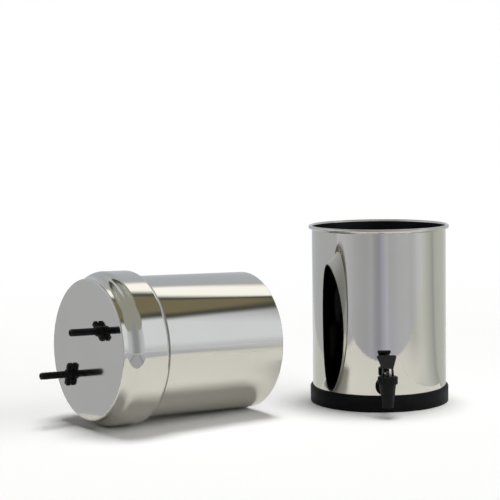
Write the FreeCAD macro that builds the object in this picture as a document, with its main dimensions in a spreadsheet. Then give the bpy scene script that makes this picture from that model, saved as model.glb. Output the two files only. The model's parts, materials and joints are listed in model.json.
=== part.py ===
import FreeCAD, Part
import math
import os
import re
import Sketcher

# A two-chamber gravity water filter with a lever tap, in millimetres and degrees.
# The receiving chamber stands on the origin with its tap towards -Y.
# The filtering chamber has been lifted off and lies beside it, mouth towards +X.

doc = FreeCAD.newDocument("gravity_water_filter")
Vector = FreeCAD.Vector
Rotation = FreeCAD.Rotation
Placement = FreeCAD.Placement

SIZES = {
    # both chambers: spun and welded stainless sheet
    "body_radius": 127.0,
    "wall": 0.8,
    # rolled rim of the receiving chamber
    "bead_height": 333.6,
    "bead_radius": 4.2,
    # rubber ring under the receiving chamber
    "ring_wall": 4.6,
    "ring_height": 30.6,
    "ring_lip_width": 16.0,
    "ring_lip_thickness": 3.0,
    "fit_gap": 0.1,
    # filtering chamber, heights from its outside floor
    "upper_length": 335.3,
    "spigot_gap": 0.8,
    "spigot_corner": 1.5,
    "spigot_height": 7.0,
    "flare_height": 42.0,
    "flare_bend": 0.13,
    "flare_reach": 0.27,
    "crest_length": 37.8,
    "shoulder": 10.5,
    # how the filtering chamber lies on the floor
    "mouth_x": -259.65,
    "mouth_y": -46.17,
    "mouth_bearing": 34.85,
    "roll_angle": 40.2,
    # tap body, heights from the shank's axis
    "tap_height": 49.0,
    "tap_reach": 50.0,
    "shank_radius": 8.0,
    "shank_bore": 4.5,
    "shank_inside": 16.0,
    "shank_hole_gap": 0.4,
    "collar_radius": 12.5,
    "collar_thickness": 3.5,
    "spout_drop": 30.4,
    "spout_radius": 10.3,
    "spout_bore": 7.5,
    "barrel_rise": 12.5,
    "barrel_radius": 15.0,
    "spout_step": 1.0,
    "neck_radius": 14.0,
    "seat_drop": 9.0,
    "valve_bore": 11.5,
    # tap bonnet
    "bonnet_radius": 18.3,
    "bonnet_height": 14.3,
    "bonnet_top": 3.5,
    "bonnet_seam": 0.3,
    "grip_sides": 16,
    # tap washers and nut
    "outer_washer_radius": 18.2,
    "outer_washer_thickness": 3.0,
    "inner_washer_radius": 15.0,
    "inner_washer_thickness": 3.0,
    "shank_nut_sides": 6,
    "shank_nut_across": 26.0,
    "shank_nut_thickness": 7.0,
    # valve stem, seat cup and spring
    "stem_radius": 2.5,
    "stem_gap": 0.2,
    "eye_radius": 3.8,
    "eye_width": 6.0,
    "cup_radius": 8.5,
    "cup_height": 8.0,
    "spring_radius": 6.6,
    "spring_wire": 1.2,
    # lever and its pin
    "pin_rise": 4.6,
    "pin_radius": 1.5,
    "pin_gap": 0.05,
    "fork_gap": 13.6,
    "arm_thickness": 3.6,
    "window_rise": 8.5,
    "knee_rise": 6.0,
    "knee_ahead": 2.5,
    "lever_rise": 30.0,
    "lever_lean": 45.0,
    "lever_top_width": 36.0,
    "top_corner": 2.5,
    "paddle_thickness": 5.0,
    "foot_gap": 0.3,
    "pull_angle": 80.0,
    "stem_travel": 3.4,
    # the two filters and their holes
    "hole_share": 0.5441,
    "hole_shift_x": -5.3,
    "hole_shift_y": 2.8,
    "hole_gap": 0.25,
    "block_radius": 35.0,
    "block_length": 228.0,
    "block_bore": 10.0,
    "cap_radius": 37.0,
    "cap_thickness": 14.0,
    "top_cap_thickness": 9.0,
    "block_sides": 32,
    "seal_radius": 15.0,
    "seal_thickness": 3.0,
    # threaded outlets and wing nuts
    "outlet_radius": 6.35,
    "outlet_length": 62.0,
    "outlet_bore": 3.2,
    "hub_radius": 9.0,
    "hub_length": 10.8,
    "wing_span": 42.0,
    "wing_thickness": 6.0,
    "wing_lift": 1.0,
    "wing_corner": 3.0,
    "nut_thread_gap": 0.07,
    "nut_seat_gap": 0.3,
    "nut_1_turn": -36.8,
    "nut_2_turn": 82.2,
    # how far a cut runs on past what it cuts
    "overcut": 2.0,
    # small round pieces that hide inside others are many-sided
    "small_sides": 24,
}
SMALLEST_CUT = 0.5  # cubic millimetres

sheet = doc.addObject("Spreadsheet::Sheet", "Sizes")
stored = []
pieces = []


def store(alias, number):
    """Put one size on the next row of the sheet."""
    stored.append(alias)
    row = len(stored)
    sheet.set("A%d" % row, alias)
    sheet.set("B%d" % row, "%.6f" % number)
    sheet.setAlias("B%d" % row, alias)


for alias, number in SIZES.items():
    store(alias, number)
doc.recompute()


def bound(text):
    """The expression with each size read from the sheet."""
    return re.sub(r"\b(%s)\b" % "|".join(stored), r"Sizes.\1", text)


def size(text):
    """What an expression of sizes comes to, in millimetres or degrees."""
    return float(sheet.evalExpression(bound(text)))


def bind(thing, **texts):
    """Tie properties of one object to expressions of the sizes."""
    for name, text in texts.items():
        thing.setExpression(name, bound(text))


def keep(thing, label, placement=None):
    """Name a finished piece and put it in its place."""
    thing.Label = label
    if placement is not None:
        thing.Placement = placement
    pieces.append(thing)
    return thing


def new_body(name):
    return doc.addObject("PartDesign::Body", name)


def new_sketch(body, plane, name):
    sketch = body.newObject("Sketcher::SketchObject", name)
    origin_plane = [item for item in body.Origin.OriginFeatures if item.Role == plane][0]
    sketch.AttachmentSupport = [(origin_plane, "")]
    sketch.MapMode = "FlatFace"
    return sketch


def pin_point(sketch, geometry, position, x_text, y_text):
    """Hold one point of a sketch at two expressions."""
    for kind, text, axis in (("DistanceX", x_text, -2), ("DistanceY", y_text, -1)):
        if text == "0":
            sketch.addConstraint(Sketcher.Constraint("PointOnObject", geometry, position, axis))
        else:
            index = sketch.addConstraint(
                Sketcher.Constraint(kind, -1, 1, geometry, position, size(text)))
            sketch.setExpression("Constraints[%d]" % index, bound(text))


def draw_outline(sketch, path):
    """A closed outline. A stop is (x, y), or (x, y, radius, bend) where an arc arrives.

    The bend is "left" or "right" as seen when walking along the outline.
    """
    first = sketch.GeometryCount
    ends = []
    radii = []
    for index, stop in enumerate(path):
        before = path[index - 1]
        start = Vector(size(before[0]), size(before[1]), 0)
        end = Vector(size(stop[0]), size(stop[1]), 0)
        if len(stop) == 2:
            sketch.addGeometry(Part.LineSegment(start, end), False)
            ends.append((1, 2))
            continue
        radius = size(stop[2])
        half = (end - start) * 0.5
        height = math.sqrt(max(radius ** 2 - half.Length ** 2, 0.0))
        side = Vector(-half.y, half.x, 0).normalize() * height
        left = stop[3] == "left"
        centre = start + half + (side if left else side * -1)
        from_point, to_point = (start, end) if left else (end, start)
        angles = [math.atan2(p.y - centre.y, p.x - centre.x) for p in (from_point, to_point)]
        if angles[1] < angles[0]:
            angles[1] += 2 * math.pi
        circle = Part.Circle(centre, Vector(0, 0, 1), radius)
        sketch.addGeometry(Part.ArcOfCircle(circle, angles[0], angles[1]), False)
        ends.append((1, 2) if left else (2, 1))
        radii.append((first + index, stop[2]))
    count = len(path)
    for index in range(count):
        after = (index + 1) % count
        sketch.addConstraint(Sketcher.Constraint(
            "Coincident", first + index, ends[index][1], first + after, ends[after][0]))
        pin_point(sketch, first + index, ends[index][1], path[index][0], path[index][1])
    for geometry, text in radii:
        index = sketch.addConstraint(Sketcher.Constraint("Radius", geometry, size(text)))
        sketch.setExpression("Constraints[%d]" % index, bound(text))
    return sketch


def draw_circle(sketch, x_text, y_text, radius_text):
    centre = Vector(size(x_text), size(y_text), 0)
    circle = Part.Circle(centre, Vector(0, 0, 1), size(radius_text))
    geometry = sketch.addGeometry(circle, False)
    pin_point(sketch, geometry, 3, x_text, y_text)
    index = sketch.addConstraint(Sketcher.Constraint("Radius", geometry, size(radius_text)))
    sketch.setExpression("Constraints[%d]" % index, bound(radius_text))
    return sketch


def turn(body, path, name):
    """Material spun round the body's own Z axis from an outline of radius and height."""
    sketch = draw_outline(new_sketch(body, "XZ_Plane", name + "_outline"), path)
    feature = body.newObject("PartDesign::Revolution", name)
    feature.Profile = sketch
    feature.ReferenceAxis = (sketch, ["V_Axis"])
    feature.Angle = 360
    doc.recompute()
    return feature


def carved(body, feature, before):
    """Recompute a cut and make sure that it took material away."""
    doc.recompute()
    if feature.Shape.Volume > before - SMALLEST_CUT:
        raise RuntimeError("%s of %s cut nothing" % (feature.Name, body.Name))
    return feature


def turn_away(body, path, name):
    """Material spun out round the body's own Z axis."""
    before = body.Tip.Shape.Volume
    sketch = draw_outline(new_sketch(body, "XZ_Plane", name + "_outline"), path)
    feature = body.newObject("PartDesign::Groove", name)
    feature.Profile = sketch
    feature.ReferenceAxis = (sketch, ["V_Axis"])
    feature.Angle = 360
    return carved(body, feature, before)


def pad(body, sketch, name, length, middle=False, backwards=False):
    feature = body.newObject("PartDesign::Pad", name)
    feature.Profile = sketch
    feature.Midplane = middle
    feature.Reversed = backwards
    bind(feature, Length=length)
    doc.recompute()
    return feature


def pocket(body, sketch, name, length, middle=False, backwards=False):
    before = body.Tip.Shape.Volume
    feature = body.newObject("PartDesign::Pocket", name)
    feature.Profile = sketch
    feature.Midplane = middle
    feature.Reversed = backwards
    bind(feature, Length=length)
    return carved(body, feature, before)


def rod(name, radius, length, placement):
    """A plain cylinder along its own Z axis."""
    cylinder = doc.addObject("Part::Cylinder", name)
    bind(cylinder, Radius=radius, Height=length)
    cylinder.Placement = placement
    return cylinder


def prism(name, sides, radius, length, placement=Placement()):
    """A many-sided rod along its own Z axis, for round pieces that hide inside others."""
    blank = doc.addObject("Part::Prism", name)
    bind(blank, Polygon=sides, Circumradius=radius, Height=length)
    blank.Placement = placement
    return blank


def corners(sides, radius):
    """An outline of that many corners, all at the radius."""
    count = int(size(sides))
    return [("%s * cos(%.4f)" % (radius, 360 * corner / count),
             "%s * sin(%.4f)" % (radius, 360 * corner / count)) for corner in range(count)]


def combine(kind, name, base, tool):
    result = doc.addObject("Part::" + kind, name)
    result.Base = base
    result.Tool = tool
    doc.recompute()
    return result


# Receiving chamber: one pressed floor and wall with the rim rolled outwards into a bead.
lower = new_body("receiving_chamber")
bead_centre = "body_radius - wall + bead_radius"
rolled = [(bead_centre + " + bead_radius * cos(%d)" % angle, "bead_height + bead_radius * sin(%d)" % angle)
          for angle in (-90, -30, 30, 90)]
turn(lower, [
    ("0", "ring_lip_thickness"),
    ("body_radius", "ring_lip_thickness"),
    ("body_radius", "bead_height - bead_radius"),
] + rolled + [
    ("body_radius - wall", "bead_height"),
    ("body_radius - wall", "ring_lip_thickness + wall"),
    ("0", "ring_lip_thickness + wall"),
], "wall_and_rim")
tap_hole = draw_circle(new_sketch(lower, "XZ_Plane", "tap_hole_outline"),
                       "0", "tap_height", "shank_radius + shank_hole_gap")
pocket(lower, tap_hole, "tap_hole", "body_radius + overcut", backwards=True)
keep(lower, "receiving_chamber")

# Rubber ring that the receiving chamber's floor edge sits in.
ring = new_body("base_ring")
turn(ring, [
    ("body_radius + ring_wall - ring_lip_width", "0"),
    ("body_radius + ring_wall", "0"),
    ("body_radius + ring_wall", "ring_height"),
    ("body_radius + fit_gap", "ring_height"),
    ("body_radius + fit_gap", "ring_lip_thickness"),
    ("body_radius + ring_wall - ring_lip_width", "ring_lip_thickness"),
], "ring_section")
keep(ring, "base_ring")

# Filtering chamber, upright in its own frame: floor at zero, mouth up.
# A spigot and a flared shoulder sit in and on the receiving chamber's rim.
upper = new_body("filtering_chamber")
spigot = "(body_radius - wall - spigot_gap)"
crest_end = "flare_height + crest_length"
bulge = "(body_radius + shoulder)"
flare_step = "(%s - %s)" % (bulge, spigot)
flare_run = "(flare_height - spigot_height)"


def flare(step_share, run_share, inwards):
    """A corner of the flare, at shares of its step and run, on the inside face if inwards is 1."""
    radius = "%s + %s * %s - %d * wall" % (spigot, flare_step, step_share, inwards)
    return (radius, "spigot_height + %s * %s" % (flare_run, run_share))


turn(upper, [
    ("0", "0"),
    (spigot + " - spigot_corner", "0"),
    (spigot, "spigot_corner"),
    flare(0, 0, 0),
    flare("flare_bend", "flare_reach", 0),
    flare("(1 - flare_bend)", "(1 - flare_reach)", 0),
    flare(1, 1, 0),
    (bulge, crest_end),
    ("body_radius + shoulder * cos(45)", crest_end + " + shoulder * sin(45)"),
    ("body_radius", crest_end + " + shoulder"),
    ("body_radius", "upper_length"),
    ("body_radius - wall", "upper_length"),
    ("body_radius - wall", crest_end + " + shoulder - wall"),
    ("body_radius - wall + shoulder * cos(45)", crest_end + " + shoulder * sin(45) - wall"),
    (bulge + " - wall", crest_end),
    flare(1, 1, 1),
    flare("(1 - flare_bend)", "(1 - flare_reach)", 1),
    flare("flare_bend", "flare_reach", 1),
    flare(0, 0, 1),
    (spigot + " - spigot_corner", "wall"),
    ("0", "wall"),
], "shell")
holes = new_sketch(upper, "XY_Plane", "outlet_holes_outline")
for side in ("-", "+"):
    draw_circle(holes, "hole_shift_x %s hole_share * body_radius" % side, "hole_shift_y",
                "outlet_radius + hole_gap")
pocket(upper, holes, "outlet_holes", "2 * (wall + overcut)", middle=True)

# The chamber rests on its shoulder and on the lip of its mouth, so it lies a little tilted.
tilt = math.degrees(math.atan2(size("shoulder"), size("upper_length - (%s)" % crest_end)))
lying = Rotation(Vector(0, 0, 1), size("mouth_bearing")) * Rotation(Vector(0, 1, 0), 90 + tilt)
lying = lying * Rotation(Vector(0, 0, 1), -90 - size("roll_angle"))
mouth = Vector(size("mouth_x"), size("mouth_y"),
               size("body_radius") * math.cos(math.radians(tilt)))
chamber_place = Placement(mouth - lying.multVec(Vector(0, 0, size("upper_length"))), lying)
keep(upper, "filtering_chamber", chamber_place)


def in_chamber(x_text, y_text, z_text, twist=0.0):
    """A place given in the filtering chamber's own upright frame."""
    spot = Vector(size(x_text), size(y_text), size(z_text))
    return chamber_place * Placement(spot, Rotation(Vector(0, 0, 1), twist))


# Two filters: hollow carbon blocks between plastic caps, hung on threaded outlets
# that pass through the floor and are drawn down on their seals by wing nuts.
for number, side in ((1, "-"), (2, "+")):
    across = "hole_shift_x %s hole_share * body_radius" % side

    seal = combine("Cut", "seal_%d" % number,
                   prism("seal_rim_%d" % number, "small_sides", "seal_radius", "seal_thickness"),
                   prism("seal_hole_%d" % number, "small_sides",
                         "(outlet_radius + hole_gap) / cos(180 / small_sides)", "seal_thickness"))
    keep(seal, "filter_seal_%d" % number, in_chamber(across, "hole_shift_y", "wall"))

    cap = new_body("filter_base_%d" % number)
    tip = "-(wall + seal_thickness + outlet_length)"
    cap_outline = draw_outline(new_sketch(cap, "XY_Plane", "cap_outline_%d" % number),
                               corners("block_sides", "cap_radius"))
    pad(cap, cap_outline, "cap_%d" % number, "cap_thickness")
    turn(cap, [
        ("0", tip),
        ("outlet_radius", tip),
        ("outlet_radius", "cap_thickness / 2"),
        ("0", "cap_thickness / 2"),
    ], "outlet_%d" % number)
    turn_away(cap, [
        ("0", tip),
        ("outlet_bore", tip),
        ("outlet_bore", "cap_thickness"),
        ("0", "cap_thickness"),
    ], "outlet_bore_%d" % number)
    keep(cap, "filter_base_%d" % number,
         in_chamber(across, "hole_shift_y", "wall + seal_thickness"))

    block = combine("Cut", "block_%d" % number,
                    prism("block_rim_%d" % number, "block_sides", "block_radius", "block_length"),
                    prism("block_core_%d" % number, "small_sides", "block_bore", "block_length"))
    keep(block, "filter_block_%d" % number,
         in_chamber(across, "hole_shift_y", "wall + seal_thickness + cap_thickness"))

    top = prism("top_cap_%d" % number, "block_sides", "cap_radius", "top_cap_thickness")
    keep(top, "filter_top_%d" % number,
         in_chamber(across, "hole_shift_y",
                    "wall + seal_thickness + cap_thickness + block_length"))

    nut = new_body("wing_nut_%d" % number)
    wings = draw_outline(new_sketch(nut, "XZ_Plane", "wing_outline_%d" % number), [
        ("-wing_span / 2", "-wing_lift"),
        ("-wing_span / 2", "-hub_length + wing_corner"),
        ("-wing_span / 2 + wing_corner", "-hub_length"),
        ("wing_span / 2 - wing_corner", "-hub_length"),
        ("wing_span / 2", "-hub_length + wing_corner"),
        ("wing_span / 2", "-wing_lift"),
    ])
    pad(nut, wings, "wings_%d" % number, "wing_thickness", middle=True)
    hub = draw_outline(new_sketch(nut, "XY_Plane", "hub_outline_%d" % number),
                       corners("small_sides", "hub_radius"))
    pad(nut, hub, "hub_%d" % number, "hub_length", backwards=True)
    thread = draw_circle(new_sketch(nut, "XY_Plane", "thread_outline_%d" % number),
                         "0", "0", "outlet_radius + nut_thread_gap")
    pocket(nut, thread, "thread_%d" % number, "2 * (hub_length + overcut)", middle=True)
    keep(nut, "wing_nut_%d" % number,
         in_chamber(across, "hole_shift_y", "-nut_seat_gap", size("nut_%d_turn" % number)))

# Tap body: a tapered barrel and spout with a threaded shank through the chamber's wall.
# Its own frame has the barrel's axis as Z and the shank's axis at zero height.
tap_place = Placement(Vector(0, -size("body_radius + tap_reach"), size("tap_height")), Rotation())
tap = new_body("tap_body")
neck_top = "barrel_rise + bonnet_seam + bonnet_height - bonnet_top"
turn(tap, [
    ("0", "-spout_drop"),
    ("spout_radius", "-spout_drop"),
    ("barrel_radius", "-shank_radius - spout_step"),
    ("barrel_radius", "barrel_rise"),
    ("neck_radius", "barrel_rise"),
    ("neck_radius", neck_top),
    ("0", neck_top),
], "barrel")
shank = draw_circle(new_sketch(tap, "XZ_Plane", "shank_outline"), "0", "0", "shank_radius")
pad(tap, shank, "shank", "tap_reach + wall + shank_inside", backwards=True)
collar = draw_outline(new_sketch(tap, "XZ_Plane", "collar_outline"),
                      corners("small_sides", "collar_radius"))
collar.AttachmentOffset = Placement(
    Vector(0, 0, -size("tap_reach - outer_washer_thickness - collar_thickness")), Rotation())
collar.setExpression(".AttachmentOffset.Base.z",
                     bound("-(tap_reach - outer_washer_thickness - collar_thickness)"))
pad(tap, collar, "collar", "collar_thickness", backwards=True)
turn_away(tap, [
    ("0", "-spout_drop"),
    ("spout_bore", "-spout_drop"),
    ("spout_bore", "-seat_drop"),
    ("valve_bore", "-seat_drop"),
    ("valve_bore", neck_top),
    ("0", neck_top),
], "waterway")
port = draw_circle(new_sketch(tap, "XZ_Plane", "port_outline"), "0", "0", "shank_bore")
pocket(tap, port, "port", "tap_reach + wall + shank_inside", backwards=True)
keep(tap, "tap_body", tap_place)

# Bonnet: the fluted cap that screws over the barrel's neck and guides the stem.
bonnet = new_body("tap_bonnet")
bonnet_foot = "barrel_rise + bonnet_seam"
bonnet_face = bonnet_foot + " + bonnet_height"
grip = new_sketch(bonnet, "XY_Plane", "grip_outline")
draw_outline(grip, corners("grip_sides", "bonnet_radius"))
grip.AttachmentOffset = Placement(Vector(0, 0, size(bonnet_foot)), Rotation())
grip.setExpression(".AttachmentOffset.Base.z", bound(bonnet_foot))
pad(bonnet, grip, "grip", "bonnet_height")
turn_away(bonnet, [
    ("0", bonnet_foot),
    ("neck_radius + fit_gap", bonnet_foot),
    ("neck_radius + fit_gap", neck_top),
    ("stem_radius + stem_gap", neck_top),
    ("stem_radius + stem_gap", bonnet_face),
    ("0", bonnet_face),
], "bonnet_bore")
keep(bonnet, "tap_bonnet", tap_place)

# Washers that seal the shank on both sides of the curved wall, and the nut that holds it.
inwards = Rotation(Vector(1, 0, 0), -90)
washer_face = -size("body_radius + outer_washer_thickness")
saddle_depth = "body_radius - sqrt(body_radius^2 - outer_washer_radius^2)"
hole_radius = "(shank_radius + fit_gap) / cos(180 / small_sides)"
outer_blank = prism("outer_washer_blank", "small_sides", "outer_washer_radius",
                    "outer_washer_thickness + " + saddle_depth,
                    Placement(Vector(0, washer_face, size("tap_height")), inwards))
outer_hole = prism("outer_washer_hole", "small_sides", hole_radius, "body_radius",
                   Placement(Vector(0, washer_face - size("overcut"), size("tap_height")), inwards))
wall_outside = rod("wall_outside", "body_radius + fit_gap / 2", "tap_height * 2", Placement())
outer_pierced = combine("Cut", "outer_washer_pierced", outer_blank, outer_hole)
keep(combine("Cut", "outer_washer", outer_pierced, wall_outside), "tap_outer_washer")

inner_depth = "inner_washer_thickness + body_radius - wall - " \
              "sqrt((body_radius - wall)^2 - inner_washer_radius^2)"
inner_face = -size("body_radius - wall - (%s)" % inner_depth)
nut_place = Placement(Vector(0, inner_face, size("tap_height")), inwards)
inner_blank = prism("inner_washer_blank", "small_sides", "inner_washer_radius", inner_depth,
                    Placement(Vector(0, inner_face - size(inner_depth), size("tap_height")), inwards))
inner_hole = prism("inner_washer_hole", "small_sides", hole_radius, "body_radius",
                   Placement(Vector(0, washer_face, size("tap_height")), inwards))
wall_inside = rod("wall_inside", "body_radius - wall - fit_gap / 2", "tap_height * 2", Placement())
inner_pierced = combine("Cut", "inner_washer_pierced", inner_blank, inner_hole)
keep(combine("Common", "inner_washer", inner_pierced, wall_inside), "tap_inner_washer")

hexagon = prism("shank_nut_blank", "shank_nut_sides", "shank_nut_across / sqrt(3)",
                "shank_nut_thickness", nut_place)
nut_thread = prism("shank_nut_thread", "small_sides", hole_radius, "body_radius",
                   Placement(Vector(0, washer_face, size("tap_height")), inwards))
keep(combine("Cut", "shank_nut", hexagon, nut_thread), "tap_shank_nut")

# Valve stem with its eye, the rubber cup on its foot, and the spring that closes it.
stem = new_body("tap_stem")
cup_top = "-seat_drop + cup_height"
eye_height = bonnet_face + " + pin_rise"
turn(stem, [
    ("0", cup_top),
    ("stem_radius", cup_top),
    ("stem_radius", eye_height + " - eye_radius"),
    ("0", eye_height + " - eye_radius"),
], "stem_rod")
eye = draw_outline(new_sketch(stem, "YZ_Plane", "eye_outline"), [
    ("-eye_radius", eye_height + " - eye_radius"),
    ("eye_radius", eye_height + " - eye_radius"),
    ("eye_radius", eye_height + " + eye_radius / 2"),
    ("eye_radius / 2", eye_height + " + eye_radius"),
    ("-eye_radius / 2", eye_height + " + eye_radius"),
    ("-eye_radius", eye_height + " + eye_radius / 2"),
])
pad(stem, eye, "eye", "eye_width", middle=True)
eye_hole = draw_circle(new_sketch(stem, "YZ_Plane", "eye_hole_outline"),
                       "0", eye_height, "pin_radius + pin_gap")
pocket(stem, eye_hole, "eye_hole", "eye_width + overcut", middle=True)
keep(stem, "tap_stem", tap_place)

keep(prism("seat_cup", "small_sides", "cup_radius", "cup_height"), "tap_seat_cup",
     tap_place * Placement(Vector(0, 0, -size("seat_drop")), Rotation()))

spring_length = "%s - (%s)" % (neck_top, cup_top)
spring = combine("Cut", "spring",
                 prism("spring_outside", "small_sides", "spring_radius", spring_length),
                 prism("spring_inside", "small_sides", "spring_radius - spring_wire", spring_length))
keep(spring, "tap_spring", tap_place * Placement(Vector(0, 0, size(cup_top)), Rotation()))

# Lever: a leaning fan-shaped paddle on two arms that straddle the stem's eye.
# Its feet are eccentric, so pulling it forward lifts the stem off its seat.
# The foot is an arc about a point ahead of and above the pin. Its reach down to the
# bonnet grows with the pull as fast as the stem rises: exact at rest, half way and full.
full_pull = math.radians(size("pull_angle"))
half_pull = full_pull / 2
lift_rate = size("stem_travel") / full_pull
sine_full, sine_half = math.sin(full_pull), math.sin(half_pull)
drop_full, drop_half = 1 - math.cos(full_pull), 1 - math.cos(half_pull)
turns = sine_full * drop_half - drop_full * sine_half
store("foot_ahead", lift_rate * (full_pull * drop_half - half_pull * drop_full) / turns)
store("foot_above", lift_rate * (half_pull * sine_full - full_pull * sine_half) / turns)
doc.recompute()

lever = new_body("tap_lever")
foot_radius = "(pin_rise - foot_gap + foot_above)"
top_front = "-knee_ahead + (lever_rise - knee_rise) * tan(lever_lean)"
top_back = top_front + " + paddle_thickness * cos(lever_lean)"
top_back_rise = "lever_rise - paddle_thickness * sin(lever_lean)"
foot_back = "-foot_ahead + " + foot_radius
side = draw_outline(new_sketch(lever, "YZ_Plane", "side_outline"), [
    (foot_back, "foot_above", foot_radius, "left"),
    (foot_back, "%s - (%s - (%s)) / tan(lever_lean)" % (top_back_rise, top_back, foot_back)),
    (top_back, top_back_rise),
    (top_front, "lever_rise"),
    ("-knee_ahead", "knee_rise"),
    ("-foot_ahead - " + foot_radius, "foot_above"),
    ("-foot_ahead", "foot_above - " + foot_radius, foot_radius, "left"),
])
pad(lever, side, "slab", "lever_top_width", middle=True)
front = new_sketch(lever, "XZ_Plane", "front_outline")
neck = "(fork_gap / 2 + arm_thickness)"
shoulder_width = "lever_top_width / 2"
for mirror in ("", "-"):
    draw_outline(front, [
        (mirror + neck, "-lever_rise"),
        (mirror + neck, "window_rise"),
        (mirror + shoulder_width, "lever_rise - top_corner"),
        ("%s(%s - top_corner)" % (mirror, shoulder_width), "lever_rise"),
        ("%s(%s - top_corner)" % (mirror, shoulder_width), "lever_rise + top_corner"),
        ("%s(%s + top_corner)" % (mirror, shoulder_width), "lever_rise + top_corner"),
        ("%s(%s + top_corner)" % (mirror, shoulder_width), "-lever_rise"),
    ])
draw_outline(front, [
    ("-fork_gap / 2", "-lever_rise"),
    ("fork_gap / 2", "-lever_rise"),
    ("fork_gap / 2", "window_rise"),
    ("-fork_gap / 2", "window_rise"),
])
pocket(lever, front, "fan_and_fork", "2 * (lever_rise + overcut)", middle=True)
lever_hole = draw_circle(new_sketch(lever, "YZ_Plane", "lever_hole_outline"),
                         "0", "0", "pin_radius + pin_gap")
pocket(lever, lever_hole, "lever_hole", "lever_top_width + overcut", middle=True)
pin_place = tap_place * Placement(Vector(0, 0, size(eye_height)), Rotation())
keep(lever, "tap_lever", pin_place)

pin_half = size("fork_gap / 2 + arm_thickness")
pin_start = Placement(Vector(-pin_half, 0, 0), Rotation(Vector(0, 1, 0), 90))
keep(rod("tap_lever_pin", "pin_radius", "fork_gap + 2 * arm_thickness", pin_place * pin_start),
     "tap_lever_pin")

# Every piece has to be sound before any is written.
doc.recompute()
for thing in doc.Objects:
    if "Invalid" in thing.State or "Error" in thing.State:
        raise RuntimeError("%s failed: %s" % (thing.Label, thing.State))
for piece in pieces:
    if piece.Shape.isNull() or not piece.Shape.isValid() or not piece.Shape.Solids:
        raise RuntimeError("%s has no sound solid" % piece.Label)

os.makedirs("parts", exist_ok=True)
for piece in pieces:
    piece.Shape.exportStep("parts/%s.step" % piece.Label)
print("%d pieces, tilt %.3f degrees, lift %.4f mm per radian" % (len(pieces), tilt, lift_rate))
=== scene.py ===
import bmesh
import bpy
import json
import math
from mathutils import Matrix, Vector

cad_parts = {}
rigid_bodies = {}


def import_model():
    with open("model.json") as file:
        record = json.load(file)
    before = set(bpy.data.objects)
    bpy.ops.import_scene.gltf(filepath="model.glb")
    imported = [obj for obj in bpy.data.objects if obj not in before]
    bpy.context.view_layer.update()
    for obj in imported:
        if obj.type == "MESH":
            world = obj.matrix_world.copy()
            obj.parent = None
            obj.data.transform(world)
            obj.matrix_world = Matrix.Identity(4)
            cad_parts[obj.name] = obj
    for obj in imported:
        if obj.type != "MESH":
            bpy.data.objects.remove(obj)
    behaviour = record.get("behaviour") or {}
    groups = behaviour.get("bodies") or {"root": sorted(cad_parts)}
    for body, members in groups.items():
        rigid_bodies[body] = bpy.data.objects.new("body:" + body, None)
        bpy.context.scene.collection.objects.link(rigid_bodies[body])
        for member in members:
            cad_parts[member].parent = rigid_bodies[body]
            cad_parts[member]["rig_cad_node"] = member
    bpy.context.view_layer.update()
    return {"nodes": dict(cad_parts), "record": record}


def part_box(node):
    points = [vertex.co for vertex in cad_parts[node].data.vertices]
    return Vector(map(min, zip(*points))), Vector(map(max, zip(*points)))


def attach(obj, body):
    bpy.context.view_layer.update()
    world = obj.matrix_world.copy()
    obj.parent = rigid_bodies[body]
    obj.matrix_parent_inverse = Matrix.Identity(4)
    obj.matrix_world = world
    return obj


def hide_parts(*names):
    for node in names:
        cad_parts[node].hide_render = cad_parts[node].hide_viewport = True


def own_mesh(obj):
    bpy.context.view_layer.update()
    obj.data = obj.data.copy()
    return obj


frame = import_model()
scene = bpy.context.scene


# The studio: a wide sheet of white paper for a floor, lit from straight above by one soft lamp, from
# the right by a window, and a little by the room. The background is the plain white of the room.
def new_material(name, colour, roughness=0.5, metallic=0.0):
    material = bpy.data.materials.new(name)
    material.use_nodes = True
    shader = material.node_tree.nodes["Principled BSDF"]
    shader.inputs["Base Color"].default_value = (*colour, 1)
    shader.inputs["Roughness"].default_value = roughness
    shader.inputs["Metallic"].default_value = metallic
    return material, material.node_tree, shader


def new_object(name, points, faces):
    mesh = bpy.data.meshes.new(name)
    mesh.from_pydata(points, [], faces)
    mesh.update()
    mesh.shade_smooth()
    made = bpy.data.objects.new(name, mesh)
    scene.collection.objects.link(made)
    return made


PAPER_REACH = 9.0
PAPER_WHITE = (0.96, 0.96, 0.955)
paper = new_object("studio_paper", [(-PAPER_REACH, -PAPER_REACH, 0), (PAPER_REACH, -PAPER_REACH, 0),
                                    (PAPER_REACH, PAPER_REACH, 0), (-PAPER_REACH, PAPER_REACH, 0)],
                   [(0, 1, 2, 3)])
paper_white, paper_tree, paper_shader = new_material("white paper", PAPER_WHITE, 0.9)
paper_shader.inputs["Specular IOR Level"].default_value = 0.0
paper.data.materials.append(paper_white)

# Far from the object the paper turns to plain white for the camera, so that no horizon shows; near
# it the paper is only lit, and keeps the object's shadow.
PAPER_NEAR, PAPER_FAR = 0.9, 2.2
paper_spot = paper_tree.nodes.new("ShaderNodeTexCoord")
paper_distance = paper_tree.nodes.new("ShaderNodeVectorMath")
paper_distance.operation = "LENGTH"
how_far = paper_tree.nodes.new("ShaderNodeMapRange")
how_far.inputs["From Min"].default_value = PAPER_NEAR
how_far.inputs["From Max"].default_value = PAPER_FAR
camera_only = paper_tree.nodes.new("ShaderNodeLightPath")
both = paper_tree.nodes.new("ShaderNodeMath")
both.operation = "MULTIPLY"
plain_white = paper_tree.nodes.new("ShaderNodeEmission")
paper_or_white = paper_tree.nodes.new("ShaderNodeMixShader")
paper_tree.links.new(paper_spot.outputs["Object"], paper_distance.inputs[0])
paper_tree.links.new(paper_distance.outputs["Value"], how_far.inputs["Value"])
paper_tree.links.new(how_far.outputs["Result"], both.inputs[0])
paper_tree.links.new(camera_only.outputs["Is Camera Ray"], both.inputs[1])
paper_tree.links.new(both.outputs[0], paper_or_white.inputs["Fac"])
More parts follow.
